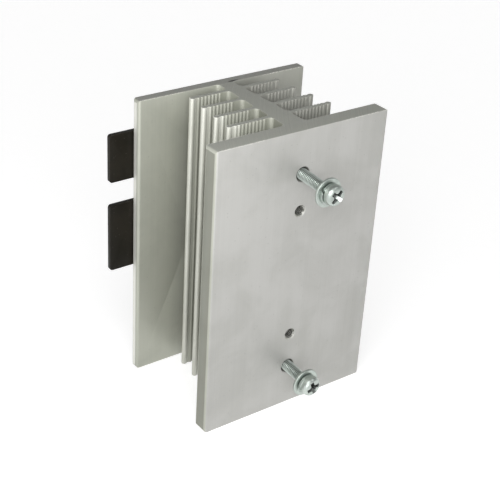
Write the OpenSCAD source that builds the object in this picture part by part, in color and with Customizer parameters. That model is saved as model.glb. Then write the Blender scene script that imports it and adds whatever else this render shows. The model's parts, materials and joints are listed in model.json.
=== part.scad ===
// Extruded aluminium heat sink for a power device that bolts to its front.
//
// One extruded bar makes the whole radiator: a thick front plate, a thinner
// rear plate, and a tapered stem between them that four serrated fins cross.
// Two captive-washer screws stand in the front plate, backed out as they are
// before a device is fitted. A black steel bracket is screwed flat behind the
// rear plate, and its two ears stand out on the left with an open slot between.
//
// Origin: the foot of the stem, half way through the depth of the profile.
// +Z runs up the extrusion, -Y is the side the device bolts to.

/* [Extrusion] */
// Length of the cut bar, foot to top
bar_length = 105; // [96:1:200]
// Width of the front and rear plates
plate_width = 68.5; // [60:0.5:90]
// Depth of the profile over both plates
profile_depth = 48; // [45:0.5:64]
// Thickness of the front plate
front_plate = 6; // [5:0.5:8]
// Thickness of the rear plate
rear_plate = 3.5; // [3:0.5:5]
// Radius along the long edges of the front plate
front_edge_radius = 1; // [0.4:0.1:2]
// Radius along the long edges of the rear plate
rear_edge_radius = 1.2; // [0.4:0.1:1.4]
// Radius at the deburred corners of both plates
corner_radius = 1.2; // [0.5:0.1:3]
// Width of the stem where it meets the front plate
stem_front = 8; // [7:0.5:10]
// Width of the stem where it meets the rear plate
stem_rear = 5.4; // [4.4:0.2:7]
// Radius where fins and plates spring from the stem
root_radius = 1.6; // [0.8:0.1:2.2]

/* [Fins] */
// Number of fins that cross the stem
fin_count = 4; // [2:1:5]
// Thickness of a fin over its ridges
fin_thickness = 2; // [1.8:0.1:2.8]
// Distance from the stem's middle to the tip of the rearmost fin
fin_reach = 18.2; // [14:0.1:22]
// How much further each fin reaches than the one behind it
fin_growth = 0.9; // [0:0.1:1.2]
// Diameter of the rounded bead along a fin's tip
tip_bead = 2; // [1.8:0.1:3]
// Clear gap between the rear plate and the first fin
rear_gap = 4.8; // [4.5:0.1:6]
// Clear gap between the last fin and the front plate
front_gap = 6.95; // [4.5:0.05:7.5]
// How far in from a fin's tip the first ridge starts
ridge_start = 2.5; // [2:0.1:4]
// Distance from one ridge to the next on a fin's face
ridge_pitch = 1.4; // [1.1:0.05:2]
// Height of a ridge above the valleys beside it
ridge_height = 0.35; // [0.2:0.05:0.5]

/* [Device holes] */
// Distance between the two tapped holes for the device
device_pitch = 47.6; // [40:0.1:56]
// Tapping diameter of the device holes
tapped_d = 3.3; // [2.5:0.1:4.2]
// Diameter of the countersunk mouth of a device hole
tapped_mouth_d = 4.5; // [4.3:0.1:6]
// Depth of every blind hole in the front plate
hole_depth = 12; // [10:0.5:16]

/* [Mounting screws] */
// Distance between the two mounting screws
screw_pitch = 74; // [70:0.5:80]
// Thread diameter of the mounting screws
screw_d = 4; // [3:0.1:4.2]
// Length of a mounting screw under its head
screw_length = 20; // [16:0.5:30]
// Length of thread that the upper screw still has in the front plate
upper_engaged = 5.2; // [4:0.1:8]
// Length of thread that the lower screw still has in the front plate
lower_engaged = 7.7; // [4:0.1:9]
// Diameter of the pan head
head_d = 7; // [6.8:0.1:8.4]
// Height of the pan head
head_height = 2.6; // [2.4:0.1:3.6]
// Width of the cross recess in the head
recess_width = 4.4; // [3.6:0.1:5]
// Depth of the cross recess in the head
recess_depth = 2; // [1.2:0.1:2.4]
// Diameter of the countersunk mouth of a screw hole
screw_mouth_d = 5.6; // [5:0.1:7]

/* [Washers] */
// Outer diameter of the spring washer
spring_washer_d = 7.4; // [6.6:0.1:9]
// Thickness of the spring washer's wire
spring_washer_t = 1.1; // [0.8:0.1:1.5]
// Rise of the unloaded spring washer over one turn
spring_rise = 0.5; // [0.3:0.1:1.4]
// Outer diameter of the flat washer
flat_washer_d = 10; // [8:0.1:12]
// Thickness of the flat washer
flat_washer_t = 0.8; // [0.5:0.1:1.5]

/* [Bracket] */
// Thickness of the bracket's steel sheet
bracket_t = 1.5; // [1.4:0.1:3]
// How far the ears stand out beyond the plate's edge
ear_reach = 8.7; // [5:0.1:20]
// How far the bracket reaches in behind the rear plate
bracket_overlap = 29; // [27:0.5:31]
// Height of the lower ear
lower_ear = 25.2; // [18:0.1:30]
// Height of the upper ear
upper_ear = 17.3; // [16:0.1:24]
// Width of the open slot between the ears
slot_width = 8.5; // [5:0.1:12]
// How far the slot's round end reaches in behind the rear plate
slot_depth = 6; // [2:0.5:12]
// Drop from the bar's top end to the bracket's top edge
bracket_drop = 11.6; // [6:0.1:16]
// Radius at the bracket's corners
bracket_corner = 1; // [0.5:0.1:3]

/* [Bracket screws] */
// Thread diameter of the bracket's countersunk screws
fixing_d = 3; // [2.8:0.1:3.6]
// Diameter of a countersunk head
fixing_head_d = 5.6; // [5:0.1:5.6]
// Distance from the bracket's edges to a screw's middle
fixing_inset = 6.5; // [5:0.5:10]

/* [Hidden] */
$fn = 64;

thread_clearance = 0.05;    // all round a thread in its hole
washer_clearance = 0.15;    // all round a shank in a washer
overrun = 1;                // how far a cut runs past the face it opens
drill_tip = 59;             // half angle of a drilled hole's end, degrees
point_chamfer = 0.5;        // chamfer at a mounting screw's point
rim_share = 0.35;           // part of a pan head's height that stands straight
roll_share = 0.34;          // radius over a pan head's rim, over the head's diameter
wing_share = 0.25;          // thickness of a recess's wings, over its width
web_share = 0.4;            // diameter of a recess's filled middle, over its width
flush_recess_share = 0.56;  // width of a countersunk screw's recess, over its head's diameter
ridge_steps = 6;            // points along one ridge
dome_steps = 8;             // points over the rim of a pan head
coil_steps = 40;            // stations round a spring washer
coil_slit = 14;             // gap between a spring washer's ends, degrees

front_y = -profile_depth / 2;   // face that the device bolts to
rear_y = profile_depth / 2;     // face that the bracket lies on
inner_depth = profile_depth - front_plate - rear_plate;
fin_pitch = (inner_depth - front_gap - rear_gap - fin_thickness) / (fin_count - 1);
mid_z = bar_length / 2;
fin_core = fin_thickness - 2 * ridge_height;
ridge_inner = stem_front / 2 + root_radius;

bracket_top = bar_length - bracket_drop;
bracket_height = lower_ear + slot_width + upper_ear;
bracket_bottom = bracket_top - bracket_height;
ear_x = -plate_width / 2 - ear_reach;
bracket_width = ear_reach + bracket_overlap;
fixing_x = ear_x + bracket_width - fixing_inset;

function fin_y(i) = rear_y - rear_plate - rear_gap - fin_thickness / 2 - i * fin_pitch;
function fin_tip(i) = fin_reach + i * fin_growth;
function stem_half(y) =
    let (t = (rear_y - rear_plate - y) / inner_depth)
    (stem_rear + (stem_front - stem_rear) * t) / 2;
function upside_down(points) = [for (i = [len(points) - 1 : -1 : 0]) [points[i].x, -points[i].y]];
function left_right(points) = [for (i = [len(points) - 1 : -1 : 0]) [-points[i].x, points[i].y]];

// ---- shared shapes -------------------------------------------------------

// A flat bar seen from its end, centred, with round edges.
module rounded_bar(w, h, r) {
    square([w - 2 * r, h], center = true);
    square([w, h - 2 * r], center = true);
    for (x = [-1, 1], y = [-1, 1])
        translate([x * (w / 2 - r), y * (h / 2 - r)]) circle(r);
}

// Puts its children on the front face at each of two heights, +Z outward.
module on_front(pitch) {
    for (side = [-1, 1])
        translate([0, front_y, mid_z + side * pitch / 2]) rotate([90, 0, 0]) children();
}

// Puts its children at the bearing face of each mounting screw's head, +Z outward.
module under_heads() {
    for (screw = [[-1, lower_engaged], [1, upper_engaged]])
        translate([0, front_y - screw_length + screw[1], mid_z + screw[0] * screw_pitch / 2])
            rotate([90, 0, 0]) children();
}

// Puts its children on the bracket's outer face at each bracket screw.
module on_bracket() {
    for (z = [bracket_bottom + fixing_inset, bracket_top - fixing_inset])
        translate([fixing_x, rear_y + bracket_t, z]) rotate([-90, 0, 0]) children();
}

// A blind drilled hole below z = 0, with a 90 degree countersunk mouth.
module drilled_hole(d, mouth_d) {
    r = d / 2;
    mouth_r = mouth_d / 2;
    rotate_extrude() polygon([
        [0, -hole_depth - r / tan(drill_tip)], [r, -hole_depth], [r, r - mouth_r],
        [mouth_r, 0], [mouth_r + overrun, overrun], [0, overrun]]);
}

// The tapered cross that a screwdriver fits, cut down from z = 0.
module cross_recess(width, depth) {
    wing = width * wing_share;
    foot_d = 2 * wing;
    translate([0, 0, -depth]) intersection() {
        cylinder(h = depth + overrun, d1 = foot_d, d2 = width + (width - foot_d) * overrun / depth);
        union() {
            for (turn = [0, 90])
                rotate(turn) translate([-width, -wing / 2, 0]) cube([2 * width, wing, depth + overrun]);
            cylinder(h = depth + overrun, d = width * web_share);
        }
    }
}

// ---- heat sink -----------------------------------------------------------

// The wavy outline of a fin's upper right face, from its tip bead inwards to
// the last whole ridge before the root fillet.
function ridged_edge(tip) =
    let (outer = tip - ridge_start, ridges = floor((outer - ridge_inner) / ridge_pitch))
    concat(
        [[tip - tip_bead / 2, fin_core / 2]],
        [for (k = [0 : ridges * ridge_steps])
            [outer - k * ridge_pitch / ridge_steps,
             fin_core / 2 + ridge_height * (1 - cos(360 * k / ridge_steps)) / 2]]);

module fin_profile(tip) {
    upper = concat(ridged_edge(tip), left_right(ridged_edge(tip)));
    polygon(concat(upper, upside_down(upper)));
    for (side = [-1, 1])
        translate([side * (tip - tip_bead / 2), 0]) circle(d = tip_bead);
}

module stem_profile() {
    y0 = front_y + front_plate / 2;
    y1 = rear_y - rear_plate / 2;
    polygon([[-stem_half(y0), y0], [stem_half(y0), y0], [stem_half(y1), y1], [-stem_half(y1), y1]]);
}

// Turns a shape drawn in the +X +Y corner to the left or downwards.
module face_corner(left, down) {
    mirror([left ? 1 : 0, 0]) mirror([0, down ? 1 : 0]) children();
}

// The concave fillets, left and right of the stem, above or below the face at y.
module root_fillets(y, below = false) {
    sink = root_radius / 4;
    for (left = [false, true])
        translate([(left ? -1 : 1) * stem_half(y), y]) face_corner(left, below) difference() {
            translate([-sink, -sink]) square(root_radius + sink);
            translate([root_radius, root_radius]) circle(root_radius);
        }
}

module bar_profile() {
    translate([0, front_y + front_plate / 2]) rounded_bar(plate_width, front_plate, front_edge_radius);
    translate([0, rear_y - rear_plate / 2]) rounded_bar(plate_width, rear_plate, rear_edge_radius);
    stem_profile();
    root_fillets(front_y + front_plate);
    root_fillets(rear_y - rear_plate, below = true);
    for (i = [0 : fin_count - 1]) {
        translate([0, fin_y(i)]) fin_profile(fin_tip(i));
        root_fillets(fin_y(i) + fin_core / 2);
        root_fillets(fin_y(i) - fin_core / 2, below = true);
    }
}

// What is filed off one corner of the sawn plates, drawn in the XZ plane.
module corner_relief() {
    difference() {
        translate([-corner_radius, -corner_radius]) square(corner_radius + overrun);
        translate([-corner_radius, -corner_radius]) circle(corner_radius);
    }
}

module heat_sink() {
    color([0.78, 0.79, 0.77]) difference() {
        linear_extrude(bar_length) bar_profile();
        for (left = [false, true], foot = [false, true])
            translate([(left ? -1 : 1) * plate_width / 2, rear_y + overrun, foot ? 0 : bar_length])
                rotate([90, 0, 0]) linear_extrude(profile_depth + 2 * overrun)
                    face_corner(left, foot) corner_relief();
        on_front(screw_pitch) drilled_hole(screw_d + 2 * thread_clearance, screw_mouth_d);
        on_front(device_pitch) drilled_hole(tapped_d, tapped_mouth_d);
        on_bracket() translate([0, 0, -bracket_t - rear_plate - overrun])
            cylinder(h = rear_plate + 2 * overrun, d = fixing_d + 2 * thread_clearance);
    }
}

// ---- mounting screws and their washers -----------------------------------

// A pan head: a short straight rim that rounds over to a shallow crown.
module pan_head() {
    rim = head_height * rim_share;
    crown = head_height - rim;
    roll = head_d * roll_share;
    rotate_extrude() polygon(concat(
        [[0, 0], [head_d / 2, 0]],
        [for (k = [0 : dome_steps])
            [head_d / 2 - roll * (1 - cos(90 * k / dome_steps)), rim + crown * sin(90 * k / dome_steps)]],
        [[0, head_height]]));
}

module mounting_screws() {
    color([0.72, 0.77, 0.77]) under_heads() difference() {
        union() {
            translate([0, 0, point_chamfer - screw_length])
                cylinder(h = screw_length - point_chamfer, d = screw_d);
            translate([0, 0, -screw_length])
                cylinder(h = point_chamfer, d1 = screw_d - 2 * point_chamfer, d2 = screw_d);
            pan_head();
        }
        translate([0, 0, head_height]) cross_recess(recess_width, recess_depth);
    }
}

// A split ring whose one turn climbs by spring_rise, as it does unloaded.
module spring_washer() {
    inner = screw_d / 2 + washer_clearance;
    outer = spring_washer_d / 2;
    section = [[inner, 0], [outer, 0], [outer, spring_washer_t], [inner, spring_washer_t]];
    sweep = 360 - coil_slit;
    points = [for (k = [0 : coil_steps], p = section)
        let (a = coil_slit / 2 + sweep * k / coil_steps)
        [p[0] * cos(a), p[0] * sin(a), p[1] + spring_rise * k / coil_steps]];
    walls = [for (k = [0 : coil_steps - 1], j = [0 : 3])
        let (n = (j + 1) % 4) [4 * k + j, 4 * k + 4 + j, 4 * k + 4 + n, 4 * k + n]];
    last = 4 * coil_steps;
    polyhedron(points, concat(walls, [[0, 1, 2, 3], [last + 3, last + 2, last + 1, last]]));
}

module spring_washers() {
    color([0.66, 0.70, 0.70]) under_heads()
        translate([0, 0, -spring_rise - spring_washer_t]) spring_washer();
}

module flat_washers() {
    color([0.76, 0.80, 0.79]) under_heads()
        translate([0, 0, -spring_rise - spring_washer_t - flat_washer_t]) difference() {
            cylinder(h = flat_washer_t, d = flat_washer_d);
            translate([0, 0, -overrun])
                cylinder(h = flat_washer_t + 2 * overrun, d = screw_d + 2 * washer_clearance);
        }
}

// ---- bracket and its screws ----------------------------------------------

// The bracket's outline, drawn with x across and y up.
module bracket_outline() {
    slot_z = bracket_bottom + lower_ear + slot_width / 2;
    slot_x = -plate_width / 2 + slot_depth - slot_width / 2;
    mid_x = ear_x + bracket_width / 2;
    right_x = ear_x + bracket_width;
    difference() {
        union() {
            translate([mid_x, bracket_bottom + lower_ear / 2])
                rounded_bar(bracket_width, lower_ear, bracket_corner);
            translate([mid_x, bracket_top - upper_ear / 2])
                rounded_bar(bracket_width, upper_ear, bracket_corner);
            translate([slot_x, bracket_bottom + lower_ear / 2])
                square([right_x - slot_x, bracket_height - (lower_ear + upper_ear) / 2]);
        }
        translate([ear_x - overrun, slot_z - slot_width / 2]) square([slot_x - ear_x + overrun, slot_width]);
        translate([slot_x, slot_z]) circle(d = slot_width);
    }
}

// A countersunk hole through the bracket, opening at z = 0.
module countersink() {
    shank_r = fixing_d / 2 + thread_clearance;
    mouth_r = fixing_head_d / 2 + thread_clearance;
    rotate_extrude() polygon([
        [0, -bracket_t - overrun], [shank_r, -bracket_t - overrun], [shank_r, shank_r - mouth_r],
        [mouth_r, 0], [mouth_r + overrun, overrun], [0, overrun]]);
}

module mounting_bracket() {
    color([0.13, 0.12, 0.11]) difference() {
        translate([0, rear_y + bracket_t, 0]) rotate([90, 0, 0])
            linear_extrude(bracket_t) bracket_outline();
        on_bracket() countersink();
    }
}

module bracket_screws() {
    cone = (fixing_head_d - fixing_d) / 2;
    reach = bracket_t + rear_plate;
    color([0.72, 0.77, 0.77]) on_bracket() difference() {
        union() {
            translate([0, 0, -reach]) cylinder(h = reach, d = fixing_d);
            translate([0, 0, -cone]) cylinder(h = cone, d1 = fixing_d, d2 = fixing_head_d);
        }
        cross_recess(fixing_head_d * flush_recess_share, cone);
    }
}

heat_sink();
mounting_screws();
spring_washers();
flat_washers();
mounting_bracket();
bracket_screws();
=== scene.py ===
# %% [markdown]
# # An extruded heat sink with its screws and bracket
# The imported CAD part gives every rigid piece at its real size. This lesson dresses it: the bar, the
# bracket and its screws keep their solids and get modifiers and finishes, and the two mounting screws
# with their washers are modelled again, because their threads, rolled edges and split ends are finer
# than the solids. Everything is in metres, in the part's own frame: +Z up the bar, -Y out of the front.

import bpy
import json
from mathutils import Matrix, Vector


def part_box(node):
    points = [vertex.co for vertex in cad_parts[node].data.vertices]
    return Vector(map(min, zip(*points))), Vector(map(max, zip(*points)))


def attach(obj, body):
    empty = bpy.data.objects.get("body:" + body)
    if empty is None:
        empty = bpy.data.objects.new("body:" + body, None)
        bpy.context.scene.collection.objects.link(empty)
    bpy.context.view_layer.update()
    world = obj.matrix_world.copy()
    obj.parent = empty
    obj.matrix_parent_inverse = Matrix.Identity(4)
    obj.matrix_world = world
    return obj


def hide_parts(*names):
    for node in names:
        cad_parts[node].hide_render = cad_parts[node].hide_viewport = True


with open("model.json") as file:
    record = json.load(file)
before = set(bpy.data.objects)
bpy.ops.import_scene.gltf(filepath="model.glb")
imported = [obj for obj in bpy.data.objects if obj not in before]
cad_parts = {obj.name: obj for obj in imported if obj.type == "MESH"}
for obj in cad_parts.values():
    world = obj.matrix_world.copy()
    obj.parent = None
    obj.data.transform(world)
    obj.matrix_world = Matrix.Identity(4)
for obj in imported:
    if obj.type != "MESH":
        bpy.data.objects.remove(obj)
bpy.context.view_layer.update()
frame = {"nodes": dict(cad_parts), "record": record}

# %% Import what the lesson uses
import json
import math

import bmesh
import bpy
from mathutils import Matrix, Vector

MM = 0.001
scene = bpy.context.scene
scene.view_settings.view_transform = "Standard"
print("nodes:", sorted(frame["nodes"]))

# %% [markdown]
# ## Where things are
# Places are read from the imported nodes, never typed twice. A node's box gives the screws' axes: both
# stand on the bar's middle plane, one a head's radius below the top of the box, one above its foot.
# The two screws are backed out by different amounts, so each solid's own depth is measured too, from
# the points of its node that lie round its axis. The record gives the spacing of the device holes.

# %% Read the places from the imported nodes
sink_low, sink_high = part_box("heat_sink")
screws_low, screws_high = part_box("mounting_screws")
flats_low, flats_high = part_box("flat_washers")
springs_low, springs_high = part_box("spring_washers")

bar_height = sink_high.z - sink_low.z
middle_z = bar_height / 2
front_y = sink_low.y
half_depth = -front_y
plate_width = sink_high.x - sink_low.x
head_radius = (screws_high.x - screws_low.x) / 2
flat_radius = (flats_high.x - flats_low.x) / 2
spring_radius = (springs_high.x - springs_low.x) / 2
screw_z = {"lower": screws_low.z + head_radius, "upper": screws_high.z - head_radius}
print("bar, mm:", [round(v / MM, 1) for v in (plate_width, 2 * half_depth, bar_height)])
print("screw axes, mm:", {k: round(v / MM, 2) for k, v in screw_z.items()})

# %% Read the holes and the depths
def depth_of(node, z):
    """Front and back of the one solid of a node whose axis is at height z."""
    depths = [v.co.y for v in frame["nodes"][node].data.vertices if abs(v.co.z - z) < 2 * head_radius]
    return min(depths), max(depths)


holes = next(m for m in frame["record"]["mounts"] if m["name"] == "device_holes")
hole_middle = holes["pos_m"][2]
hole_spread = holes["dims"]["spacing_y_mm"] * MM / 2
hole_radius = holes["dims"]["hole_r_mm"] * MM
hole_z = {"lower": hole_middle - hole_spread, "upper": hole_middle + hole_spread}
print("device holes, mm:", {k: round(v / MM, 2) for k, v in hole_z.items()})

# %% [markdown]
# ## The camera
# The camera looks down on the front left corner. Its place is worked out from the angles round the
# object, the distance and a small slide, and it is rolled a little, as a hand-held camera is.

# %% Place the camera
AZIMUTH = math.radians(-37.6)
ELEVATION = math.radians(29.4)
ROLL = math.radians(3.5)
DISTANCE = 0.4123
SLIDE_RIGHT, SLIDE_UP = -0.0009, -0.0021
LENS = 85.4


def direction(azimuth, elevation):
    """A unit vector: azimuth turns from -Y towards +X, elevation rises towards +Z."""
    return Vector((
        math.sin(azimuth) * math.cos(elevation),
        -math.cos(azimuth) * math.cos(elevation),
        math.sin(elevation),
    ))


camera = bpy.data.objects.new("camera", bpy.data.cameras.new("camera"))
scene.collection.objects.link(camera)
scene.camera = camera
camera.data.lens = LENS

back = direction(AZIMUTH, ELEVATION)
level_right = Vector((math.cos(AZIMUTH), math.sin(AZIMUTH), 0))
level_up = back.cross(level_right)
right = level_right * math.cos(ROLL) + level_up * math.sin(ROLL)
up = level_up * math.cos(ROLL) - level_right * math.sin(ROLL)
aim = Vector((0, 0, middle_z)) + right * SLIDE_RIGHT + up * SLIDE_UP
turn = Matrix((right, up, back)).transposed().to_4x4()
camera.matrix_world = Matrix.Translation(aim + back * DISTANCE) @ turn
print("camera at, mm:", [round(v / MM) for v in camera.matrix_world.translation])

# %% [markdown]
# ## Small helpers for shader nodes
# Each finish below is a short list of nodes. These helpers add a node, set its values by name and
# join sockets, so that a finish reads as a recipe. The helpers for sums and mixes take numbers,
# colours or sockets: a number or a colour is written on the node, and a socket is linked to it.

# %% Helpers: single nodes
def add(tree, kind, sockets=(), **settings):
    """Adds a node. settings are its properties; sockets are its unlinked input values."""
    node = tree.nodes.new(kind)
    for name, value in settings.items():
        setattr(node, name, value)
    for name, value in dict(sockets).items():
        node.inputs[name].default_value = value
    return node


def feed(tree, value, socket):
    """Links a socket to an input, or writes a number or a colour on it."""
    if isinstance(value, bpy.types.NodeSocket):
        tree.links.new(value, socket)
    elif isinstance(value, tuple):
        socket.default_value = (*value, 1.0)
    else:
        socket.default_value = value


def maths(tree, operation, first, second=0.0, clamp=False):
    """A Math node on two values; gives its output socket."""
    node = add(tree, "ShaderNodeMath", operation=operation, use_clamp=clamp)
    feed(tree, first, node.inputs[0])
    feed(tree, second, node.inputs[1])
    return node.outputs[0]


def ramp(tree, value, low, high, out_low=0.0, out_high=1.0):
    """Spreads a value between low and high, smoothly, to out_low and out_high."""
    limits = {"From Min": low, "From Max": high, "To Min": out_low, "To Max": out_high}
    node = add(tree, "ShaderNodeMapRange", limits, interpolation_type="SMOOTHSTEP")
    tree.links.new(value, node.inputs["Value"])
    return node.outputs["Result"]


def blend(tree, factor, first, second):
    """Mixes two colours by a factor: inputs 6, 7 and 0 of a Mix node, and its output 2."""
    node = add(tree, "ShaderNodeMix", data_type="RGBA")
    for number, value in ((0, factor), (6, first), (7, second)):
        feed(tree, value, node.inputs[number])
    return node.outputs[2]


print("node helpers ready")

# %% Helpers: products and sums
def times(tree, first, *others):
    """The product of masks or numbers: 1 only where all of them are."""
    for other in others:
        first = maths(tree, "MULTIPLY", first, other)
    return first


def weighted(tree, start, *parts):
    """A number, plus a share of each part; a part is (socket, share)."""
    for socket, share in parts:
        start = maths(tree, "ADD", start, times(tree, socket, share))
    return start


print("sum and product ready")

# %% Helpers: groups
def group(name, inputs, outputs):
    """An empty shader node group with named float inputs and outputs, and its two end nodes."""
    tree = bpy.data.node_groups.new(name, "ShaderNodeTree")
    for label, value in inputs.items():
        socket = tree.interface.new_socket(label, in_out="INPUT", socket_type="NodeSocketFloat")
        socket.default_value = value
    for label in outputs:
        tree.interface.new_socket(label, in_out="OUTPUT", socket_type="NodeSocketFloat")
    return tree, tree.nodes.new("NodeGroupInput"), tree.nodes.new("NodeGroupOutput")


def put(material, shared, **values):
    """Puts a group into a material with its own values."""
    node = add(material.node_tree, "ShaderNodeGroup", node_tree=shared)
    for name, value in values.items():
        node.inputs[name.replace("_", " ").capitalize()].default_value = value
    return node


print("group helpers ready")

# %% [markdown]
# ## An effect: streaks
# Metal that is pushed through a die, or rolled, carries fine lines along its length. Noise that is
# squeezed across the lines and pulled out along them looks the same from every side, needs no
# unwrapping and costs little. Height is for bump, Mask is for colour and roughness. Only the bar has
# streaks here, but as a group with its own inputs the effect is ready for other pressed metal.

# %% Group: streaks along Z
FINE_SHARE = 0.6
STREAK_BAND = (0.38, 0.62)

streaks, ends_in, ends_out = group(
    "streaks_along_z", {"Fineness": 2500.0, "Length": 8.0}, ("Mask", "Height"))
spot = add(streaks, "ShaderNodeTexCoord")
pull = add(streaks, "ShaderNodeCombineXYZ")
for axis in "XY":
    streaks.links.new(ends_in.outputs["Fineness"], pull.inputs[axis])
streaks.links.new(ends_in.outputs["Length"], pull.inputs["Z"])
stretched = add(streaks, "ShaderNodeVectorMath", operation="MULTIPLY")
streaks.links.new(spot.outputs["Object"], stretched.inputs[0])
streaks.links.new(pull.outputs[0], stretched.inputs[1])
fine = add(streaks, "ShaderNodeTexNoise", {"Scale": 1.0, "Detail": 4.0, "Roughness": 0.65})
broad = add(streaks, "ShaderNodeTexNoise", {"Scale": 0.14, "Detail": 2.0})
for noise in (fine, broad):
    streaks.links.new(stretched.outputs[0], noise.inputs["Vector"])
both = weighted(streaks, 0.0, (fine.outputs[0], FINE_SHARE), (broad.outputs[0], 1.0 - FINE_SHARE))
streaks.links.new(ramp(streaks, both, *STREAK_BAND), ends_out.inputs["Mask"])
streaks.links.new(both, ends_out.inputs["Height"])
print("streaks:", len(streaks.nodes), "nodes")

# %% [markdown]
# ## A shared effect: cloudiness
# Bare and plated metal is never even: handling and oxide leave soft patches and small specks. Paint
# shows both too. A noise makes the patches. A cell pattern, of which only a few cells are kept, makes
# the specks: the cell's own random colour picks the few, and the distance from its middle the dot.

# %% Group: patches and specks
PATCH_BAND = (0.35, 0.68)
SPECK_EDGE = (0.16, 0.30)
CELLS_LEFT_OUT = 0.93

clouds, ends_in, ends_out = group(
    "patches_and_specks", {"Patch size": 60.0, "Speck size": 900.0}, ("Patches", "Specks"))
spot = add(clouds, "ShaderNodeTexCoord")
patches = add(clouds, "ShaderNodeTexNoise", {"Detail": 5.0, "Roughness": 0.55, "Distortion": 0.4})
cells = add(clouds, "ShaderNodeTexVoronoi", feature="F1")
for node, size in ((patches, "Patch size"), (cells, "Speck size")):
    clouds.links.new(spot.outputs["Object"], node.inputs["Vector"])
    clouds.links.new(ends_in.outputs[size], node.inputs["Scale"])
lot = add(clouds, "ShaderNodeSeparateColor")
clouds.links.new(cells.outputs["Color"], lot.inputs[0])
dot = ramp(clouds, cells.outputs["Distance"], *SPECK_EDGE, 1.0, 0.0)
few = maths(clouds, "GREATER_THAN", lot.outputs[0], CELLS_LEFT_OUT)
clouds.links.new(ramp(clouds, patches.outputs[0], *PATCH_BAND), ends_out.inputs["Patches"])
clouds.links.new(times(clouds, dot, few), ends_out.inputs["Specks"])
print("clouds:", len(clouds.nodes), "nodes")

# %% [markdown]
# ## A shared effect: worn edges
# Edges rub bright, or lose their paint, first. On the bar the same mask also carries a painted highlight
# along the edges. The Bevel node gives the normal that a rounded edge would have; where it leans away
# from the true normal there is an edge. Noise breaks the line up.

# %% Group: worn edges
LEAN_BAND = (0.995, 0.90)
GRAIN_BAND = (0.35, 0.6)

wear, ends_in, ends_out = group(
    "worn_edges", {"Radius": 0.4 * MM, "Amount": 1.0, "Grain": 1500.0}, ("Mask",))
rounded = add(wear, "ShaderNodeBevel", samples=6)
wear.links.new(ends_in.outputs["Radius"], rounded.inputs["Radius"])
true_normal = add(wear, "ShaderNodeNewGeometry")
lean = add(wear, "ShaderNodeVectorMath", operation="DOT_PRODUCT")
wear.links.new(rounded.outputs[0], lean.inputs[0])
wear.links.new(true_normal.outputs["Normal"], lean.inputs[1])
edge = ramp(wear, lean.outputs["Value"], *LEAN_BAND)
spot = add(wear, "ShaderNodeTexCoord")
grain = add(wear, "ShaderNodeTexNoise", {"Detail": 3.0, "Roughness": 0.7})
wear.links.new(spot.outputs["Object"], grain.inputs["Vector"])
wear.links.new(ends_in.outputs["Grain"], grain.inputs["Scale"])
broken = times(wear, edge, ramp(wear, grain.outputs[0], *GRAIN_BAND))
wear.links.new(maths(wear, "MULTIPLY", broken, ends_in.outputs["Amount"], clamp=True),
               ends_out.inputs["Mask"])
print("wear:", len(wear.nodes), "nodes")

# %% [markdown]
# ## Finish: mill aluminium
# The bar is bare aluminium as it left the press: satin, with die lines along its length. It isn't one
# colour. The two outer faces are a neutral grey, while everything between the plates is tinted faintly
# olive. Several of the colours laid over these are painted light and shade. The changes could be painted
# on an unwrapped mesh. But each follows a place on the section, so masks worked out from the surface's
# place and normal are sharper, and one material does all of it.

# %% Helper: a material
def material(name):
    """A new material with one Principled shader; gives the material, its tree and the shader."""
    made = bpy.data.materials.new(name)
    made.use_nodes = True
    tree = made.node_tree
    return made, tree, tree.nodes["Principled BSDF"]


print("material helper ready")

# %% Material: mill aluminium
ALUMINIUM_NEUTRAL = (0.535, 0.532, 0.51)
ALUMINIUM_OLIVE = (0.51, 0.52, 0.452)
ALUMINIUM_SHADE = (0.29, 0.295, 0.25)
ALUMINIUM_SAWN_SHADED = (0.33, 0.335, 0.305)
ALUMINIUM_BRIGHT = (0.93, 0.93, 0.865)
ALUMINIUM_DEEP_SHADE = (0.25, 0.245, 0.235)
BORE_OIL_AND_SHADE = (0.08, 0.08, 0.075)
OXIDE = (0.20, 0.21, 0.17)
SPECK = (0.30, 0.30, 0.28)
ROOT_SHADOW_DARK = (0.03, 0.03, 0.028)

mill_aluminium, tree, shader = material("mill_aluminium")
shader.inputs["Metallic"].default_value = 0.4
lines = put(mill_aluminium, streaks)
marks = put(mill_aluminium, clouds)
edges = put(mill_aluminium, wear, radius=0.6 * MM)
print("mill aluminium: started with", len(tree.nodes), "nodes")

# %% [markdown]
# ### Where a point of the bar lies
# A mask is 1 in its own place and 0 elsewhere. Two readings make all of them: the true normal tells
# which way a face looks, and the object coordinates tell where the point is. Most limits are shares
# of the plates' width, of half the bar's depth or of its height, so the masks follow the solid.

# %% Masks: which way it looks and where it is
LOOKS_ALONG = (0.80, 0.95)
LOOKS_SIDEWAYS = (0.97, 0.995)
SKIN_FROM, SKIN_TO = 0.3 * MM, 0.1 * MM
RIM_FROM, RIM_TO = 0.33 * plate_width, 0.35 * plate_width
TIP_FROM, TIP_TO = 0.22 * plate_width, 0.26 * plate_width
FINS_REACH = 0.73 * half_depth
REAR_PLATE_FROM = 0.84 * half_depth

surface = add(tree, "ShaderNodeNewGeometry")
facing = add(tree, "ShaderNodeSeparateXYZ")
tree.links.new(surface.outputs["True Normal"], facing.inputs[0])
spot = add(tree, "ShaderNodeTexCoord")
here = spot.outputs["Object"]
at = add(tree, "ShaderNodeSeparateXYZ")
tree.links.new(here, at.inputs[0])
aside = maths(tree, "ABSOLUTE", at.outputs["X"])
deep = maths(tree, "ABSOLUTE", at.outputs["Y"])

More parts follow.
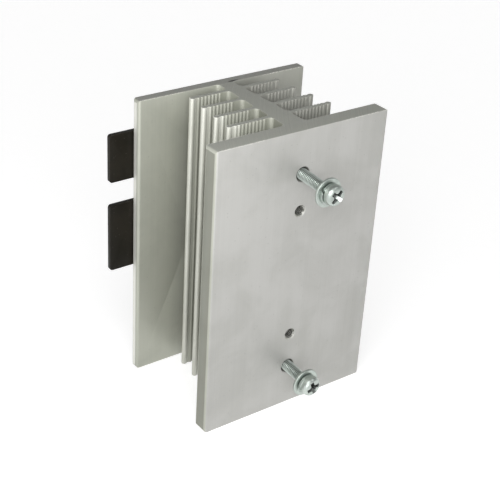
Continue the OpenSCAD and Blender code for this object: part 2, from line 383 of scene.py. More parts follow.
is_end = ramp(tree, maths(tree, "ABSOLUTE", facing.outputs["Z"]), *LOOKS_ALONG)
is_top = ramp(tree, facing.outputs["Z"], *LOOKS_ALONG)
is_side = ramp(tree, maths(tree, "ABSOLUTE", facing.outputs["X"]), *LOOKS_SIDEWAYS)
is_skin = ramp(tree, deep, half_depth - SKIN_FROM, half_depth - SKIN_TO)
is_rim = ramp(tree, aside, RIM_FROM, RIM_TO)
is_tip = ramp(tree, aside, TIP_FROM, TIP_TO)
is_fin = maths(tree, "LESS_THAN", deep, FINS_REACH)
is_front = maths(tree, "LESS_THAN", at.outputs["Y"], 0.0)
is_right = maths(tree, "GREATER_THAN", at.outputs["X"], 0.0)
is_rear_plate = maths(tree, "GREATER_THAN", at.outputs["Y"], REAR_PLATE_FROM)
print("mill aluminium:", len(tree.nodes), "nodes with the masks")

# %% [markdown]
# ### The bar's colours
# Most of these layers are painted light and shade. The tips of the left-hand fins and the rear plate's
# rounded lips are made lighter, a painted highlight. The fins' roots and the front plate's long edges are
# made darker, a painted shade, and the right-hand side is darker inside than the left, painted shade too.
# The screws' bores are dark, with oil and painted shade. Each is a layer laid over the one before: where
# it lies, how much of it, and its colour.

# %% Helpers: the opposite of a mask, and layers of colour
def outside(tree, mask):
    """The opposite of a mask."""
    return maths(tree, "SUBTRACT", 1.0, mask)


def layered(tree, colour, *layers):
    """Lays colours over a colour, in order; a layer is (mask, its share, the colour laid on)."""
    for mask, share, over in layers:
        colour = blend(tree, times(tree, mask, share), colour, over)
    return colour


print("layer helpers ready")

# %% Colour between and on the plates
BORE_REACH = 0.8 * head_radius
BORES_FROM = 0.28 * bar_height

off_middle = maths(tree, "ABSOLUTE", maths(tree, "SUBTRACT", at.outputs["Z"], middle_z))
in_bore = times(
    tree, maths(tree, "LESS_THAN", aside, BORE_REACH),
    maths(tree, "GREATER_THAN", off_middle, BORES_FROM), is_front, outside(tree, is_skin))
right_fin = times(tree, is_fin, is_right)
left_tip_highlight = times(tree, is_tip, maths(tree, "SUBTRACT", is_fin, right_fin))
cloudy = weighted(tree, 0.0, (marks.outputs["Patches"], 0.14), (lines.outputs["Mask"], 0.04))

body = layered(
    tree, blend(tree, is_skin, ALUMINIUM_OLIVE, ALUMINIUM_NEUTRAL),
    # painted shade: the fins away from their tips are darker
    (times(tree, is_fin, outside(tree, is_tip)), 0.40, ALUMINIUM_SHADE),
    # painted highlight on the left-hand fins' tips
    (left_tip_highlight, 0.45, ALUMINIUM_BRIGHT),
    # painted shade: the right-hand side inside, and its fins, are darker
    (times(tree, is_right, outside(tree, is_skin)), 0.45, ALUMINIUM_DEEP_SHADE),
    (right_fin, 0.20, ALUMINIUM_DEEP_SHADE),
    # painted shade on the front plate's long edges
    (times(tree, is_side, is_front), 1.0, ALUMINIUM_SHADE),
    # painted highlight on the rear plate's rounded lips
    (times(tree, is_side, is_rim, outside(tree, is_front)), 1.0, ALUMINIUM_BRIGHT),
    # oil and painted shade in the screws' bores
    (in_bore, 0.80, BORE_OIL_AND_SHADE),
    (cloudy, 1.0, OXIDE),
    (marks.outputs["Specks"], 0.25, SPECK),
)
print("mill aluminium:", len(tree.nodes), "nodes with the body's colours")

# %% [markdown]
# ### The sawn ends, a painted shadow and the bright edges
# A saw blade is far larger than the bar, so it leaves shallow arcs round a centre outside it: a
# one-dimensional noise of the distance from that centre. The ends are darker than the long faces, a
# painted shade, and the rear plate's end is darker still. The top end also has one painted shadow near
# the rear plate, by the stem's root, a flattened dark spot. Last of all, edges are made bright, partly
# wear and partly a painted highlight, most at the fins' tips and less on the right-hand side, which lies
# in shade.

# %% Helper: distance from a centre
def distance_from(tree, place, centre, stretch):
    """How far a place is from a centre, after each axis is stretched by its own number."""
    away = add(tree, "ShaderNodeVectorMath", {1: centre}, operation="SUBTRACT")
    scaled = add(tree, "ShaderNodeVectorMath", {1: stretch}, operation="MULTIPLY")
    length = add(tree, "ShaderNodeVectorMath", operation="LENGTH")
    tree.links.new(place, away.inputs[0])
    tree.links.new(away.outputs[0], scaled.inputs[0])
    tree.links.new(scaled.outputs[0], length.inputs[0])
    return length.outputs["Value"]


print("distance helper ready")

# %% Colour of the ends and the edges
BLADE_CENTRE = (0.14, -0.11, 0.0)
ARC_PITCH = 0.45 * MM
ARCS_SHARE = 0.5
ROOT_SHADOW_AT = (3.5 * MM, 20.9 * MM, 0.0)
ROOT_SHADOW_STRETCH = (450.0, 1600.0, 0.0)
ROOT_SHADOW_EDGE = (0.7, 1.1)
RUB_AND_SHEEN_AT_ROOT, RUB_AND_SHEEN_AT_TIP = 0.2, 0.85
RUB_AND_SHEEN_ON_RIGHT = 0.25

saw = add(tree, "ShaderNodeTexNoise", {"Scale": 1.0, "Detail": 3.0}, noise_dimensions="1D")
from_blade = distance_from(tree, here, BLADE_CENTRE, (1.0, 1.0, 0.0))
tree.links.new(maths(tree, "DIVIDE", from_blade, ARC_PITCH), saw.inputs["W"])
# painted shade: the sawn ends are darker than the long faces, the rear plate's end darker still
sawn = layered(
    tree, ALUMINIUM_SAWN_SHADED,
    (saw.outputs[0], ARCS_SHARE, ALUMINIUM_OLIVE),
    (is_rear_plate, 0.40, ALUMINIUM_DEEP_SHADE),
)
# painted shadow: a flattened dark spot on the top, by the stem's root near the rear plate
from_root_shadow = distance_from(tree, here, ROOT_SHADOW_AT, ROOT_SHADOW_STRETCH)
painted_root_shadow = times(tree, is_top, ramp(tree, from_root_shadow, *ROOT_SHADOW_EDGE, 1.0, 0.0))
# edges made bright: partly wear, partly a painted highlight, weaker on the shaded right-hand side
rub_and_sheen = times(
    tree, edges.outputs["Mask"], ramp(tree, is_tip, 0.0, 1.0, RUB_AND_SHEEN_AT_ROOT, RUB_AND_SHEEN_AT_TIP),
    ramp(tree, right_fin, 0.0, 1.0, 1.0, RUB_AND_SHEEN_ON_RIGHT))
colour = layered(
    tree, body,
    (is_end, 1.0, sawn),
    (painted_root_shadow, 0.85, ROOT_SHADOW_DARK),
    (rub_and_sheen, 1.0, ALUMINIUM_BRIGHT),
)
tree.links.new(colour, shader.inputs["Base Color"])
print("mill aluminium:", len(tree.nodes), "nodes with the ends")

# %% [markdown]
# ### Gloss and relief
# Patches, die lines and saw marks make the metal a little rougher where they lie. The same lines
# stand up from the surface, but by too little to be modelled, so a bump carries them: die lines on
# the long faces, arcs on the ends.

# %% Gloss and relief of the bar
def bump(tree, height, strength, distance):
    """A Bump node on a height socket; gives its normal."""
    node = add(tree, "ShaderNodeBump", {"Strength": strength, "Distance": distance})
    tree.links.new(height, node.inputs["Height"])
    return node.outputs[0]


rough = weighted(tree, 0.42, (marks.outputs["Patches"], 0.08), (lines.outputs["Mask"], 0.06),
                 (is_end, 0.08))
tree.links.new(rough, shader.inputs["Roughness"])
relief = maths(tree, "ADD", times(tree, lines.outputs["Height"], outside(tree, is_end)),
               times(tree, saw.outputs[0], is_end))
tree.links.new(bump(tree, relief, strength=0.25, distance=0.04 * MM), shader.inputs["Normal"])
print("mill aluminium:", len(tree.nodes), "nodes in all")

# %% [markdown]
# ## Finish: zinc plating
# Screws and washers are steel under bright zinc with a clear blue passivate, which tints it faintly
# blue-green. The same recipe, with other colours and gloss, does the darker spring steel, the stamped
# flat washers and the glossy cross recesses, whose darker colour is a painted shade, so it is a function.
# The roots of a thread are darkened too, a painted shade: a mesh that carries a root-shade value at each
# point shows it, and any other mesh reads 0.

# %% Materials: four zinc platings
ZINC_SPECK = (0.22, 0.24, 0.23)
ZINC_BRIGHT = (0.82, 0.86, 0.85)
ZINC_ROOT_SHADE = (0.05, 0.055, 0.05)


def zinc_plating(name, colour, shade, rough_low, rough_high):
    """Zinc plate: tinted metal, cloudy in colour and roughness, bright along its edges."""
    made, tree, shader = material(name)
    marks = put(made, clouds, patch_size=420.0, speck_size=2600.0)
    edges = put(made, wear, radius=0.18 * MM, grain=3000.0)
    # painted shade in the thread roots, read from each mesh's root-shade value
    root_shade = add(tree, "ShaderNodeAttribute", attribute_name="root_shade")
    tint = layered(
        tree, blend(tree, marks.outputs["Patches"], colour, shade),
        (marks.outputs["Specks"], 0.35, ZINC_SPECK),
        (edges.outputs["Mask"], 0.50, ZINC_BRIGHT),
        (root_shade.outputs["Fac"], 0.65, ZINC_ROOT_SHADE),
    )
    tree.links.new(tint, shader.inputs["Base Color"])
    tree.links.new(ramp(tree, marks.outputs["Patches"], 0.0, 1.0, rough_low, rough_high),
                   shader.inputs["Roughness"])
    shader.inputs["Metallic"].default_value = 1.0
    dents = bump(tree, marks.outputs["Patches"], strength=0.15, distance=0.02 * MM)
    tree.links.new(dents, shader.inputs["Normal"])
    return made


screw_zinc = zinc_plating("screw_zinc", (0.56, 0.615, 0.575), (0.46, 0.51, 0.475), 0.34, 0.48)
spring_zinc = zinc_plating("spring_zinc", (0.50, 0.55, 0.515), (0.41, 0.455, 0.42), 0.34, 0.48)
washer_zinc = zinc_plating("washer_zinc", (0.55, 0.605, 0.565), (0.47, 0.52, 0.485), 0.38, 0.50)
# the cross recesses' darker colour is a painted shade
recess_shade_zinc = zinc_plating("recess_shade_zinc", (0.42, 0.45, 0.43), (0.13, 0.14, 0.135), 0.24, 0.38)
print("zinc platings:", screw_zinc.name, spring_zinc.name, washer_zinc.name, recess_shade_zinc.name)

# %% [markdown]
# ## Finish: black paint
# The bracket is sheet steel under thin satin black paint, a little brown. Paint over sheet is finely
# pebbled, and it rubs through to grey along the sheared edges.

# %% Material: satin black paint
PAINT_DARK = (0.0075, 0.0062, 0.0035)
PAINT_LIGHT = (0.012, 0.0096, 0.0055)
PAINT_SPECK = (0.08, 0.075, 0.065)
PAINT_WORN = (0.16, 0.155, 0.145)
WORN_SHARE = 0.35
WORN_METAL = 0.8

black_paint, tree, shader = material("black_paint")
marks = put(black_paint, clouds, patch_size=90.0, speck_size=1500.0)
edges = put(black_paint, wear, radius=0.3 * MM, grain=1800.0)
pebbles = add(tree, "ShaderNodeTexNoise", {"Scale": 3000.0, "Detail": 2.0})
spot = add(tree, "ShaderNodeTexCoord")
tree.links.new(spot.outputs["Object"], pebbles.inputs["Vector"])
worn = times(tree, edges.outputs["Mask"], WORN_SHARE)
colour = layered(
    tree, blend(tree, marks.outputs["Patches"], PAINT_DARK, PAINT_LIGHT),
    (marks.outputs["Specks"], 0.50, PAINT_SPECK),
    (worn, 1.0, PAINT_WORN),
)
tree.links.new(colour, shader.inputs["Base Color"])
tree.links.new(ramp(tree, marks.outputs["Patches"], 0.0, 1.0, 0.46, 0.58), shader.inputs["Roughness"])
shader.inputs["Specular IOR Level"].default_value = 0.25
tree.links.new(times(tree, worn, WORN_METAL), shader.inputs["Metallic"])
tree.links.new(bump(tree, pebbles.outputs[0], strength=0.25, distance=0.03 * MM), shader.inputs["Normal"])
print("black paint:", len(tree.nodes), "nodes")

# %% [markdown]
# ## Modifiers that several pieces share
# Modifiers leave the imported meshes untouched. Weld joins points that lie together, Bevel breaks every
# sharp edge as deburring does, and a Boolean cuts a hidden cutter away and gives the cut faces the
# cutter's finish. Shading comes last: a tiny node tool shades smooth across shallow angles only.

# %% Tool: smooth shading below an angle
SMOOTH_BELOW = math.radians(40)


def smooth_below(angle):
    """A geometry node tool that shades smooth, and marks edges sharper than angle as sharp."""
    tool = bpy.data.node_groups.new("smooth_below_angle", "GeometryNodeTree")
    tool.interface.new_socket("Geometry", in_out="INPUT", socket_type="NodeSocketGeometry")
    tool.interface.new_socket("Geometry", in_out="OUTPUT", socket_type="NodeSocketGeometry")
    start, end = tool.nodes.new("NodeGroupInput"), tool.nodes.new("NodeGroupOutput")
    bend = tool.nodes.new("GeometryNodeInputMeshEdgeAngle")
    shallow = add(tool, "FunctionNodeCompare", {"B": angle}, operation="LESS_THAN")
    tool.links.new(bend.outputs["Unsigned Angle"], shallow.inputs["A"])
    faces = add(tool, "GeometryNodeSetShadeSmooth", domain="FACE")
    along_edges = add(tool, "GeometryNodeSetShadeSmooth", domain="EDGE")
    tool.links.new(start.outputs[0], faces.inputs["Geometry"])
    tool.links.new(faces.outputs[0], along_edges.inputs["Geometry"])
    tool.links.new(shallow.outputs[0], along_edges.inputs["Shade Smooth"])
    tool.links.new(along_edges.outputs[0], end.inputs[0])
    return tool


smooth_tool = smooth_below(SMOOTH_BELOW)
print("smooth tool ready")

# %% Tools: weld, broken edges, cut, smooth
SHARP_FROM = math.radians(50)


def weld(piece, name, within):
    """Joins points that lie closer together than within."""
    piece.modifiers.new(name, "WELD").merge_threshold = within


def break_edges(piece, width):
    """Rounds every sharp edge by a width."""
    bevel = piece.modifiers.new("broken_edges", "BEVEL")
    bevel.limit_method = "ANGLE"
    bevel.angle_limit = SHARP_FROM
    bevel.width = width
    bevel.segments = 2


def cut_with(piece, cutter, name):
    """Cuts the cutter away; the cut faces get the cutter's finish."""
    cut = piece.modifiers.new(name, "BOOLEAN")
    cut.object = cutter
    cut.solver = "EXACT"
    cut.material_mode = "TRANSFER"


def shade_smooth(piece):
    """Puts the smooth tool last."""
    piece.modifiers.new("smooth", "NODES").node_group = smooth_tool


print("modifier tools ready")

# %% [markdown]
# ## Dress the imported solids
# The bar, the bracket and the bracket's screws keep their solids. The file format splits every face
# from its neighbours, so Weld comes first. Then the edges are broken: a sheared sheet has a rounder
# edge than a saw-cut bar, and a small screw a finer one.

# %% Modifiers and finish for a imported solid
FACES_SPLIT_WITHIN = 0.002 * MM


def dress(name, finish, broken_edge):
    """Weld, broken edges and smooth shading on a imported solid, and its finish."""
    solid = frame["nodes"][name]
    weld(solid, "weld", FACES_SPLIT_WITHIN)
    break_edges(solid, broken_edge)
    shade_smooth(solid)
    solid.data.materials.clear()
    solid.data.materials.append(finish)
    print("dressed:", name)


dress("heat_sink", mill_aluminium, 0.15 * MM)
dress("mounting_bracket", black_paint, 0.2 * MM)
dress("bracket_screws", screw_zinc, 0.08 * MM)

# %% [markdown]
# ## Turned shapes
# Screws and washers are round, so one function turns a profile: a list of (radius, distance along the
# axis) stations. The radius may also depend on the angle, which is all that a thread needs.

# %% Tool: turn a profile round an axis
AROUND = 64


def skin(bm, lower, upper):
    """Joins two rings of points by a band of faces."""
    for k in range(len(lower)):
        n = (k + 1) % len(lower)
        bm.faces.new((lower[k], lower[n], upper[n], upper[k]))


def turned(bm, stations, closed=False, around=AROUND):
    """Skins rings of points; a station is (radius or function of angle, distance along the axis)."""
    rings = []
    for radius, along in stations:
        ring = []
        for k in range(around):
            angle = 2 * math.pi * k / around
            r = radius(angle) if callable(radius) else radius
            ring.append(bm.verts.new((r * math.cos(angle), r * math.sin(angle), along)))
        rings.append(ring)
    pairs = list(zip(rings, rings[1:]))
    if closed:
        pairs.append((rings[-1], rings[0]))
    for lower, upper in pairs:
        skin(bm, lower, upper)
    return rings


def cap(bm, ring, along, outward):
    """Closes a ring with a fan to a point on the axis."""
    tip = bm.verts.new((0, 0, along))
    for k, vertex in enumerate(ring):
        following = ring[(k + 1) % len(ring)]
        bm.faces.new((vertex, following, tip) if outward else (following, vertex, tip))


print("turning tool ready")

# %% Tools: write a mesh and stand it on the front plate
def mesh_of(bm, name, finish):
    """Writes a bmesh to a new mesh with its finish, its normals outward and smooth shading."""
    bmesh.ops.recalc_face_normals(bm, faces=bm.faces)
    for face in bm.faces:
        face.smooth = True
    mesh = bpy.data.meshes.new(name)
    bm.to_mesh(mesh)
    bm.free()
    mesh.materials.append(finish)
    return mesh


def outward_place(along_y, z):
    """Stands a piece that was made along +Z out of the front plate, at a height z."""
    return Matrix.Translation((0, along_y, z)) @ Matrix.Rotation(math.pi / 2, 4, "X")


print("mesh tools ready")

# %% [markdown]
# ## The form of a thread
# Screws and tapped holes share one thread, M4. It is a real helix: the radius of each ring of points
# follows the 60 degree form, shifted by one pitch for a full turn. A bump could fake it, but the
# teeth stand out along the screw's outline, so they are real. At both ends a screw's thread runs out.

# %% Thread form
THREAD_PITCH = 0.7 * MM
THREAD_RADIUS = 1.97 * MM
THREAD_DEPTH = 0.43 * MM
NECK_RADIUS = 1.72 * MM
CREST_SHARE = 0.12
FLANK_SHARE = 0.64


def thread_depth_at(phase):
    """How deep the flank is at a phase from 0 to 1 along the pitch: crest, flank, root, flank."""
    distance = abs((phase % 1.0) - 0.5) * 2
    return THREAD_DEPTH * min(1.0, max(0.0, (distance - CREST_SHARE) / FLANK_SHARE))


def threaded(along, start, stop, run_out):
    """Radius of the thread at a distance along the axis, fading out over run_out at both ends."""
    def radius(angle):
        phase = along / THREAD_PITCH - angle / (2 * math.pi)
        deep = thread_depth_at(phase)
        to_end = min(along - start, stop - along)
        share = min(1.0, max(0.0, to_end / run_out))
        crest = NECK_RADIUS + (THREAD_RADIUS - NECK_RADIUS) * share
        return crest - deep * share
    return radius


print("thread root diameter, mm:", round(2 * (THREAD_RADIUS - THREAD_DEPTH) / MM, 2))

# %% [markdown]
# ## Threads in the device holes
# The imported bar has the two plain tap-drilled holes. A tap leaves a helix in their walls, and its
# crests show at the mouth. The tap is the same turned form as a screw, a little larger than the drill,
# and a Boolean modifier cuts it from the bar. The tap itself stays hidden. Fresh-cut metal is smoother
# than the pressed skin, so it has a finish of its own, and it is darker, for cutting oil and painted
# shade inside the holes.
#
# Where points of the tap and the bar nearly meet, the cut leaves slivers without area. So the tap is
# turned a little about its axis, and a second Weld joins what still lies together.

# %% Finish of the cut threads
CUT_BRIGHT = (0.42, 0.42, 0.40)
CUT_OIL_AND_SHADE = (0.14, 0.14, 0.13)

cut_aluminium, tree, shader = material("cut_aluminium")
marks = put(cut_aluminium, clouds, patch_size=900.0, speck_size=3000.0)
# darker for cutting oil and painted shade inside the holes
colour = blend(tree, marks.outputs["Patches"], CUT_BRIGHT, CUT_OIL_AND_SHADE)
tree.links.new(colour, shader.inputs["Base Color"])
tree.links.new(ramp(tree, marks.outputs["Patches"], 0.0, 1.0, 0.16, 0.32), shader.inputs["Roughness"])
shader.inputs["Metallic"].default_value = 1.0
print("cut aluminium:", len(tree.nodes), "nodes")

# %% Tap both device holes
RINGS_A_PITCH = 10
RINGS_PAST_MOUTH = 4
TAP_TURNS = 9
TAP_AROUND = 48
TAP_DEPTH = TAP_TURNS * THREAD_PITCH
TAP_INSIDE_DRILL = 0.06 * MM
TAP_TURNED = math.radians(2.3)
JOIN_WITHIN = 0.001 * MM


def tapped(along):
    """Radius of the tap at a distance along its axis: the thread form turned inside out."""
    def radius(angle):
        deep = thread_depth_at(along / THREAD_PITCH - angle / (2 * math.pi))
        return hole_radius - TAP_INSIDE_DRILL + THREAD_DEPTH - deep
    return radius


def tap_mesh():
    """The tap along +Z, its foot at zero and its last rings past the mouth of the hole."""
    count = TAP_TURNS * RINGS_A_PITCH + RINGS_PAST_MOUTH
    stations = [k * THREAD_PITCH / RINGS_A_PITCH for k in range(count)]
    bm = bmesh.new()
    rings = turned(bm, [(tapped(along), along) for along in stations], around=TAP_AROUND)
    cap(bm, rings[0], stations[0], outward=False)
    cap(bm, rings[-1], stations[-1], outward=True)
    return mesh_of(bm, "tap", cut_aluminium)


sink = frame["nodes"]["heat_sink"]
for which, z in hole_z.items():
    tap = bpy.data.objects.new(f"tap_{which}", tap_mesh())
    tap.matrix_world = outward_place(front_y + TAP_DEPTH, z) @ Matrix.Rotation(TAP_TURNED, 4, "Z")
    tap.hide_render = True
    tap.hide_viewport = True
    scene.collection.objects.link(tap)
    cut_with(sink, tap, f"thread_{which}")
weld(sink, "join", JOIN_WITHIN)
sink.modifiers.move(sink.modifiers.find("smooth"), len(sink.modifiers) - 1)
print("taps:", TAP_TURNS, "turns each; modifiers:", [m.name for m in sink.modifiers])

# %% [markdown]
# ## The mounting screws
# M4 pan heads with a cross recess, turned from one profile: a chamfered point, the thread, a bare
# neck that keeps the washers captive, a fillet under the head, the flat seat, the rim and the crown.

# %% The screw's stations, from its point to the crown of its head
crown_y, tip_y = depth_of("mounting_screws", screw_z["upper"])
SCREW_TOTAL = tip_y - crown_y
HEAD_HEIGHT = 2.6 * MM
HEAD_SEAT = SCREW_TOTAL - HEAD_HEIGHT
NECK_LENGTH = 3.6 * MM
THREAD_END = HEAD_SEAT - NECK_LENGTH
RUN_OUT = 0.5 * MM
POINT_RADIUS = 1.30 * MM
CHAMFER_RADIUS, CHAMFER_HEIGHT = 1.45 * MM, 0.04 * MM
NECK_STEP = 0.05 * MM
NECK_FILLET = 0.2 * MM
HALFWAY = 0.3  # the middle of a quarter round lies this share of its radius from the corner


def screw_stations():
    """Rings of the whole screw: chamfered point, thread, neck, fillet, head."""
    rings = [(POINT_RADIUS, 0.0), (CHAMFER_RADIUS, CHAMFER_HEIGHT)]
    count = round(THREAD_END / THREAD_PITCH * RINGS_A_PITCH)
    for k in range(1, count + 1):
        along = CHAMFER_HEIGHT + (THREAD_END - CHAMFER_HEIGHT) * k / count
        rings.append((threaded(along, 0.0, THREAD_END, RUN_OUT), along))
    halfway = HALFWAY * NECK_FILLET
    rings += [(NECK_RADIUS, THREAD_END + NECK_STEP), (NECK_RADIUS, HEAD_SEAT - NECK_FILLET)]
    rings += [(NECK_RADIUS + halfway, HEAD_SEAT - halfway), (NECK_RADIUS + NECK_FILLET, HEAD_SEAT)]
    return rings + head_stations()


print("screw length over all, mm:", round(SCREW_TOTAL / MM, 2))

# %% The head's stations
RIM_SHARE = 0.45
ROLL_SHARE = 0.22
SEAT_SOFT = 0.15 * MM
CROWN_STEPS = 12


def head_stations():
    """The pan head's outline: flat seat, rounded rim, dome."""
    rim = RIM_SHARE * HEAD_HEIGHT
    crown = HEAD_HEIGHT - rim
    roll = ROLL_SHARE * 2 * head_radius
    halfway = HALFWAY * SEAT_SOFT
    rings = [(head_radius - SEAT_SOFT, HEAD_SEAT), (head_radius - halfway, HEAD_SEAT + halfway),
             (head_radius, HEAD_SEAT + SEAT_SOFT), (head_radius, HEAD_SEAT + rim)]
    for k in range(1, CROWN_STEPS + 1):
        angle = math.pi / 2 * k / CROWN_STEPS
        rings.append((head_radius - roll * (1 - math.cos(angle)),
                      HEAD_SEAT + rim + crown * math.sin(angle)))
    rings.append(((head_radius - roll) / 2, HEAD_SEAT + HEAD_HEIGHT))
    return rings


print("stations of the screw:", len(screw_stations()))

# %% [markdown]
# ### The cross recess
# It is cut with a tapered cross: four wings that get shorter and narrower towards the bottom. That is
# a lofted shape, so two outlines and a point make the cutter, and a Boolean takes it from the head.
# The edges are softened after the cut, and the same fine Weld as on the bar closes what it leaves.

# %% Cutter for the cross recess
RECESS_WIDTH = 5.0 * MM
RECESS_DEPTH = 2.1 * MM
RECESS_POINT = 0.35 * MM
WING = 1.4 * MM
CORNER_FILL = 1.6
BOTTOM_WIDTH = 0.62 * RECESS_WIDTH
ABOVE = 0.6 * MM
WING_ABOVE, WING_BELOW = WING * 1.15, WING * 0.7


def cross_outline(bm, reach, wing, along):
    """A cross of four wings whose inner corners are filled, as the driver's are."""
    points = []
    half = wing / 2
    inner = half * CORNER_FILL
    for quarter in range(4):
        c, s = math.cos(quarter * math.pi / 2), math.sin(quarter * math.pi / 2)
        for x, y in ((reach, -half), (reach, half), (inner, half), (half, inner)):
            points.append(bm.verts.new((c * x - s * y, s * x + c * y, along)))
    return points


def recess_cutter():
    """A tapered cross with a blunt point at its bottom, its mouth a little above the head."""
    slope = (RECESS_WIDTH / 2 - BOTTOM_WIDTH / 2) / RECESS_DEPTH
    bm = bmesh.new()
    top = cross_outline(bm, RECESS_WIDTH / 2 + slope * ABOVE, WING_ABOVE, ABOVE)
    low = cross_outline(bm, BOTTOM_WIDTH / 2, WING_BELOW, -RECESS_DEPTH)
    skin(bm, low, top)
    bm.faces.new(top)
    cap(bm, low, -RECESS_DEPTH - RECESS_POINT, outward=False)
    return mesh_of(bm, "recess_cutter", recess_shade_zinc)


print("recess, mm:", round(RECESS_WIDTH / MM, 1), "wide,", round(RECESS_DEPTH / MM, 1), "deep")

# %% One screw, with its recess cut
EDGE_SOFT = 0.06 * MM


def final_mesh(obj):
    """The mesh of an object with its modifiers applied."""
    graph = bpy.context.evaluated_depsgraph_get()
    return bpy.data.meshes.new_from_object(obj.evaluated_get(graph))


def mark_root_shade(mesh):
    """Stores how deep each point lies in the thread, from 0 on a crest to 1 in a root."""
    # the value darkens the thread roots in the zinc finish, a painted shade
    root_shade = mesh.attributes.new("root_shade", "FLOAT", "POINT")
    for vertex, mark in zip(mesh.vertices, root_shade.data):
        deep = (THREAD_RADIUS - math.hypot(vertex.co.x, vertex.co.y)) / THREAD_DEPTH
        mark.value = min(1.0, max(0.0, deep)) if vertex.co.z < THREAD_END else 0.0


def screw_mesh():
    """One screw along +Z, its point at zero, with the recess cut."""
    bm = bmesh.new()
    rings = turned(bm, screw_stations())
    cap(bm, rings[0], 0.0, outward=False)
    cap(bm, rings[-1], SCREW_TOTAL, outward=True)
    blank = bpy.data.objects.new("blank", mesh_of(bm, "blank", screw_zinc))
    mark_root_shade(blank.data)
    cutter = bpy.data.objects.new("cutter", recess_cutter())
    cutter.location = (0, 0, SCREW_TOTAL)
    for obj in (blank, cutter):
        scene.collection.objects.link(obj)
    cut_with(blank, cutter, "recess")
    break_edges(blank, EDGE_SOFT)
    weld(blank, "join", JOIN_WITHIN)
    shade_smooth(blank)
    mesh = final_mesh(blank)
    for obj in (blank, cutter):
        bpy.data.objects.remove(obj)
    return mesh


print("screw tools ready")

# %% [markdown]
# ### How the screws stand
# They are only started in their holes, so each droops a little about the mouth of its hole, and the
# washers droop with it. All of them go in a hair deeper too, so that the tipped heads stay inside
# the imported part's box. Each screw was last driven to a different angle.

# %% Stand both mounting screws
DROOP = {"lower": 2.4, "upper": 2.0}
DROOP_SET_BACK = 0.07 * MM
DRIVEN_TO = {"lower": 20, "upper": 50}


def keep_piece(name, mesh, where, node):
    """Links a finished piece at its place, rides it on the root and stands it for its node."""
    mesh.transform(where)
    piece = bpy.data.objects.new(name, mesh)
    scene.collection.objects.link(piece)
    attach(piece, "root")
    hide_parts(node)
    return piece


def drooped(which):
    """Turns a piece downward about the mouth of its screw's hole, and sets it back."""
    mouth = Matrix.Translation((0, front_y, screw_z[which]))
    tipped = mouth @ Matrix.Rotation(math.radians(DROOP[which]), 4, "X") @ mouth.inverted()
    return Matrix.Translation((0, DROOP_SET_BACK, 0)) @ tipped


def turned_to(degrees):
    """Turns a piece about its own axis."""
    return Matrix.Rotation(math.radians(degrees), 4, "Z")


for which, z in screw_z.items():
    tip_y = depth_of("mounting_screws", z)[1]
    where = drooped(which) @ outward_place(tip_y, z) @ turned_to(DRIVEN_TO[which])
    piece = keep_piece(f"mounting_screw_{which}", screw_mesh(), where,
                       "mounting_screws")
    print(piece.name, len(piece.data.polygons), "faces")

# %% [markdown]
# ## The washers
# A flat washer is stamped: one edge is rolled over, the other is sharp. A spring washer is a coil of
# square wire, cut on the slant and sprung open, so its ends stand apart. Both are short profiles
# taken round the screw; the spring washer's profile also climbs as it goes.

# %% Flat washers
SHANK_CLEAR = 2.15 * MM
HANG = SHANK_CLEAR - NECK_RADIUS
STAMPED_ROLL = 0.22 * MM
STAMPED_SHARP = 0.05 * MM
ROLL_STEPS = 4


def flat_washer_mesh(thickness, outer):
    """A stamped washer from 0 to thickness: rolled upper edges, nearly sharp lower ones."""
    profile = []
    for r, side in ((outer, 1), (SHANK_CLEAR, -1)):
        edge = [(r - side * STAMPED_SHARP, 0.0), (r, STAMPED_SHARP), (r, thickness - STAMPED_ROLL)]
        for k in range(1, ROLL_STEPS + 1):
            angle = math.pi / 2 * k / ROLL_STEPS
            edge.append((r - side * STAMPED_ROLL * (1 - math.cos(angle)),
                         thickness - STAMPED_ROLL + STAMPED_ROLL * math.sin(angle)))
        profile += edge if side == 1 else list(reversed(edge))
    bm = bmesh.new()
    turned(bm, profile, closed=True)
    return mesh_of(bm, "flat_washer", washer_zinc)


for which, z in screw_z.items():
    outer_face, inner_face = depth_of("flat_washers", z)
    mesh = flat_washer_mesh(inner_face - outer_face, flat_radius)
    where = drooped(which) @ outward_place(inner_face, z - HANG)
    keep_piece(f"flat_washer_{which}", mesh, where, "flat_washers")
    print(which, "flat washer, mm:", round((inner_face - outer_face) / MM, 2), "thick")

# %% Spring washer shape
SPRING_THICKNESS = 1.1 * MM
SPRING_CORNER = 0.12 * MM
SPRING_STEPS = 96
SLIT = math.radians(14)
SLANT = math.radians(9)


def spring_washer_mesh(outer, rise):
    """A split ring of square wire that climbs by rise over its one turn, with slanted ends."""
    low, high, top, corner = SHANK_CLEAR, outer, SPRING_THICKNESS, SPRING_CORNER
    section = [(low + corner, 0), (high - corner, 0), (high, corner), (high, top - corner),
               (high - corner, top), (low + corner, top), (low, top - corner), (low, corner)]
    bm = bmesh.new()
    rings = []
    for k in range(SPRING_STEPS + 1):
        share = k / SPRING_STEPS
        turn = SLIT / 2 + (2 * math.pi - SLIT) * share
        ring = []
        for r, z in section:
            angle = turn + SLANT * (z / SPRING_THICKNESS - 0.5)
            ring.append(bm.verts.new((r * math.cos(angle), r * math.sin(angle), z + rise * share)))
        rings.append(ring)
    for first, second in zip(rings, rings[1:]):
        skin(bm, first, second)
    bm.faces.new(rings[0])
    bm.faces.new(rings[-1])
    return mesh_of(bm, "spring_washer", spring_zinc)


print("spring washer: a slit of", round(math.degrees(SLIT)), "degrees")

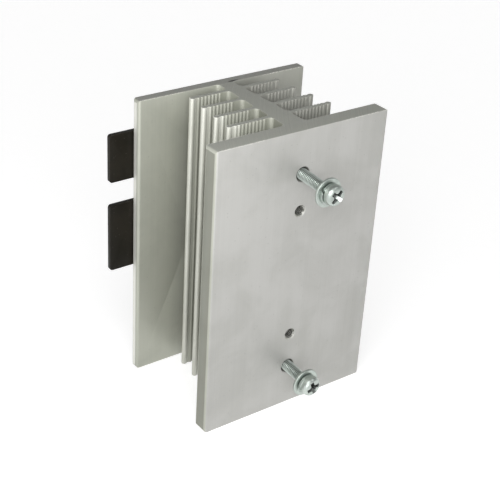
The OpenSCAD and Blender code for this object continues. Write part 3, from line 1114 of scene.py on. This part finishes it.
# %% Spring washers
SLIT_TURNED = {"lower": 200, "upper": 150}
for which, z in screw_z.items():
    outer_face, inner_face = depth_of("spring_washers", z)
    rise = inner_face - outer_face - SPRING_THICKNESS
    where = drooped(which) @ outward_place(inner_face, z - HANG) @ turned_to(SLIT_TURNED[which])
    mesh = spring_washer_mesh(spring_radius, rise)
    piece = keep_piece(f"spring_washer_{which}", mesh, where, "spring_washers")
    shade_smooth(piece)
    print(which, "spring washer rise, mm:", round(rise / MM, 2))

# %% [markdown]
# ## Floor and light
# A plain pale floor, an even, dim sky, and three soft lamps: a low one from near the camera that
# reaches in between the fins, a weaker one from the right, and a small near one that makes the front
# plate a little lighter towards its upper left. The sky is pale along the horizon, so that low views
# also have a pale background. For camera, mirror and glass rays the floor also glows a little, which
# lifts it to white and keeps the shadow.

# %% Floor
FLOOR_SIZE = 30.0
FLOOR_GAP = 0.05 * MM
FLOOR_WHITE = (0.60, 0.60, 0.60)
FLOOR_GLOW = 0.66

half = FLOOR_SIZE / 2
corners = [(-half, -half, 0), (half, -half, 0), (half, half, 0), (-half, half, 0)]
floor_mesh = bpy.data.meshes.new("floor")
floor_mesh.from_pydata(corners, [], [(0, 1, 2, 3)])
floor = bpy.data.objects.new("floor", floor_mesh)
scene.collection.objects.link(floor)
floor.location.z = sink_low.z - FLOOR_GAP

floor_paper, tree, shader = material("floor_paper")
shader.inputs["Base Color"].default_value = (*FLOOR_WHITE, 1.0)
shader.inputs["Roughness"].default_value = 0.9
shader.inputs["Specular IOR Level"].default_value = 0.0
shader.inputs["Emission Color"].default_value = (1, 1, 1, 1)
ray = tree.nodes.new("ShaderNodeLightPath")
seen = maths(tree, "MAXIMUM", ray.outputs["Is Camera Ray"], ray.outputs["Is Glossy Ray"])
seen = maths(tree, "MAXIMUM", seen, ray.outputs["Is Transmission Ray"])
tree.links.new(times(tree, seen, FLOOR_GLOW), shader.inputs["Emission Strength"])
floor_mesh.materials.append(floor_paper)
print("floor:", FLOOR_SIZE, "m wide")

# %% Sky
SKY_HORIZON = 0.95
SKY_ABOVE = 0.26
SKY_BAND = (0.12, 0.40)

world = bpy.data.worlds.new("studio")
scene.world = world
world.use_nodes = True
tree = world.node_tree
sky = tree.nodes["Background"]
sky.inputs["Color"].default_value = (1, 1, 1, 1)
ray_direction = add(tree, "ShaderNodeTexCoord")
height = add(tree, "ShaderNodeSeparateXYZ")
tree.links.new(ray_direction.outputs["Generated"], height.inputs[0])
strength = ramp(tree, height.outputs["Z"], *SKY_BAND, SKY_HORIZON, SKY_ABOVE)
tree.links.new(strength, sky.inputs["Strength"])
print("sky strength:", SKY_HORIZON, "to", SKY_ABOVE)

# %% Lamps
NEAR_SIZE = 0.10
NEAR_DISTANCE = 0.18


def lamp_from(name, kind, azimuth, elevation, power):
    """A lamp that shines on the object from an azimuth and elevation in degrees; its direction too."""
    lamp = bpy.data.objects.new(name, bpy.data.lights.new(name, kind))
    lamp.data.energy = power
    towards = direction(math.radians(azimuth), math.radians(elevation))
    lamp.rotation_mode = "QUATERNION"
    lamp.rotation_quaternion = towards.to_track_quat("Z", "Y")
    scene.collection.objects.link(lamp)
    return lamp, towards


key, _ = lamp_from("key", "SUN", azimuth=-35, elevation=20, power=1.22)
key.data.angle = math.radians(50)
fill, _ = lamp_from("fill", "SUN", azimuth=40, elevation=55, power=0.32)
fill.data.angle = math.radians(30)
near, towards = lamp_from("near", "AREA", azimuth=-50, elevation=42, power=0.14)
near.data.shape = "DISK"
near.data.size = NEAR_SIZE
near.location = Vector((0, 0, middle_z)) + towards * NEAR_DISTANCE
print("lamps:", key.name, fill.name, near.name)
